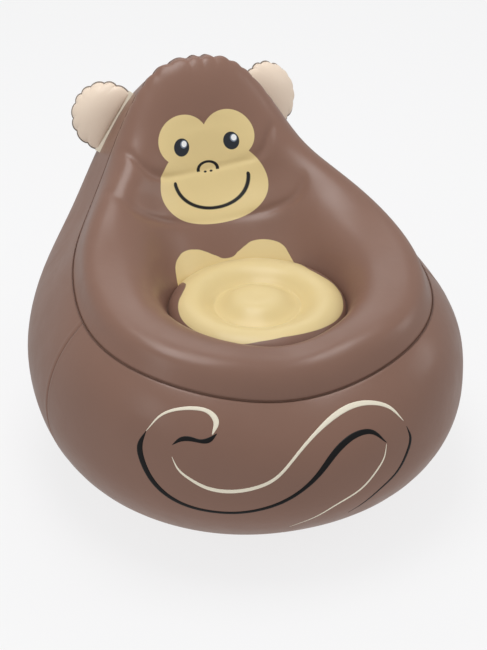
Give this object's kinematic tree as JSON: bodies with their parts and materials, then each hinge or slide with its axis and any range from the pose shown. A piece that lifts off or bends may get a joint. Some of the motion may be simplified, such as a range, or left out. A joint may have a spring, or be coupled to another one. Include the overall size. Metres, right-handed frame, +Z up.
{
  "type": "inflatable chair",
  "caption": "Child's inflatable vinyl armchair: a monkey's-head backrest with two flexing air-filled ears, a round seat cushion in a well, and push-in air valves.",
  "frame": {"origin": "middle of the base, on the floor", "axes": "+Z up; the sitter faces -Y; mirror symmetric about X = 0"},
  "size_m": [0.72, 0.8019, 0.6076],
  "materials": {
    "brown_vinyl": "satin soft vinyl",
    "straw_vinyl": "satin soft vinyl, printed",
    "ear_vinyl": "satin soft vinyl",
    "clear_vinyl": "plain soft vinyl web",
    "valve_plastic": "soft moulded vinyl"
  },
  "bodies": {
    "chair_body": {"front_wall": "brown_vinyl", "rear_wall": "brown_vinyl", "seat_back_panel": "brown_vinyl", "seat_cushion_top": "straw_vinyl", "base_panel": "brown_vinyl", "perimeter_weld": "brown_vinyl", "seat_well_weld": "brown_vinyl", "seat_well_web": "clear_vinyl", "seat_ring_web": "clear_vinyl", "nose_tie": "clear_vinyl", "chin_tie": "clear_vinyl", "main_valve_flange": "valve_plastic"},
    "left_ear": {"left_ear_front_sheet": "ear_vinyl", "left_ear_back_sheet": "ear_vinyl", "left_ear_edge_weld": "ear_vinyl", "left_ear_valve_flange": "valve_plastic"},
    "right_ear": {"right_ear_front_sheet": "ear_vinyl", "right_ear_back_sheet": "ear_vinyl", "right_ear_edge_weld": "ear_vinyl", "right_ear_valve_flange": "valve_plastic"},
    "main_valve_stem": {"main_valve_stem": "valve_plastic"},
    "main_valve_plug": {"main_valve_plug": "valve_plastic"},
    "main_valve_flap": {"main_valve_flap": "valve_plastic"},
    "left_ear_valve_stem": {"left_ear_valve_stem": "valve_plastic"},
    "left_ear_valve_plug": {"left_ear_valve_plug": "valve_plastic"},
    "left_ear_valve_flap": {"left_ear_valve_flap": "valve_plastic"},
    "right_ear_valve_stem": {"right_ear_valve_stem": "valve_plastic"},
    "right_ear_valve_plug": {"right_ear_valve_plug": "valve_plastic"},
    "right_ear_valve_flap": {"right_ear_valve_flap": "valve_plastic"}
  },
  "joints": [
    {"name": "left_ear_flex", "type": "hinge", "parent": "chair_body", "child": "left_ear", "pos_m": [-0.14432, 0.31016, 0.48293], "axis": [0.5594, 0.1524, 0.8148], "range_deg": [-25, 25], "stiffness_Nm_per_rad": 0.3},
    {"name": "right_ear_flex", "type": "hinge", "parent": "chair_body", "child": "right_ear", "pos_m": [0.14432, 0.31016, 0.48293], "axis": [0.5594, -0.1524, -0.8148], "range_deg": [-25, 25], "stiffness_Nm_per_rad": 0.3},
    {"name": "main_valve_stem_slide", "type": "slide", "parent": "chair_body", "child": "main_valve_stem", "axis": [0, 0.9738, -0.2273], "range_m": [0, 0.01]},
    {"name": "main_valve_plug_open", "type": "hinge", "parent": "main_valve_stem", "child": "main_valve_plug", "pos_m": [0, 0.38812, 0.19933], "axis": [1, 0, 0], "range_deg": [0, 150]},
    {"name": "main_valve_flap_open", "type": "hinge", "parent": "main_valve_stem", "child": "main_valve_flap", "pos_m": [0, 0.37064, 0.19745], "axis": [-1, 0, 0], "range_deg": [0, 60], "stiffness_Nm_per_rad": 0.0005},
    {"name": "left_ear_valve_stem_slide", "type": "slide", "parent": "left_ear", "child": "left_ear_valve_stem", "axis": [0.4136, 0.8005, -0.4337], "range_m": [0, 0.01]},
    {"name": "left_ear_valve_plug_open", "type": "hinge", "parent": "left_ear_valve_stem", "child": "left_ear_valve_plug", "pos_m": [-0.15557, 0.35, 0.49547], "axis": [0.7183, -0.5796, -0.3848], "range_deg": [0, 150]},
    {"name": "left_ear_valve_flap_open", "type": "hinge", "parent": "left_ear_valve_stem", "child": "left_ear_valve_flap", "pos_m": [-0.16568, 0.33583, 0.49795], "axis": [-0.7183, 0.5796, 0.3848], "range_deg": [0, 60], "stiffness_Nm_per_rad": 0.0005},
    {"name": "right_ear_valve_stem_slide", "type": "slide", "parent": "right_ear", "child": "right_ear_valve_stem", "axis": [-0.4136, 0.8005, -0.4337], "range_m": [0, 0.01]},
    {"name": "right_ear_valve_plug_open", "type": "hinge", "parent": "right_ear_valve_stem", "child": "right_ear_valve_plug", "pos_m": [0.15557, 0.35, 0.49547], "axis": [0.7183, 0.5796, 0.3848], "range_deg": [0, 150]},
    {"name": "right_ear_valve_flap_open", "type": "hinge", "parent": "right_ear_valve_stem", "child": "right_ear_valve_flap", "pos_m": [0.16568, 0.33583, 0.49795], "axis": [-0.7183, -0.5796, -0.3848], "range_deg": [0, 60], "stiffness_Nm_per_rad": 0.0005}
  ]
}
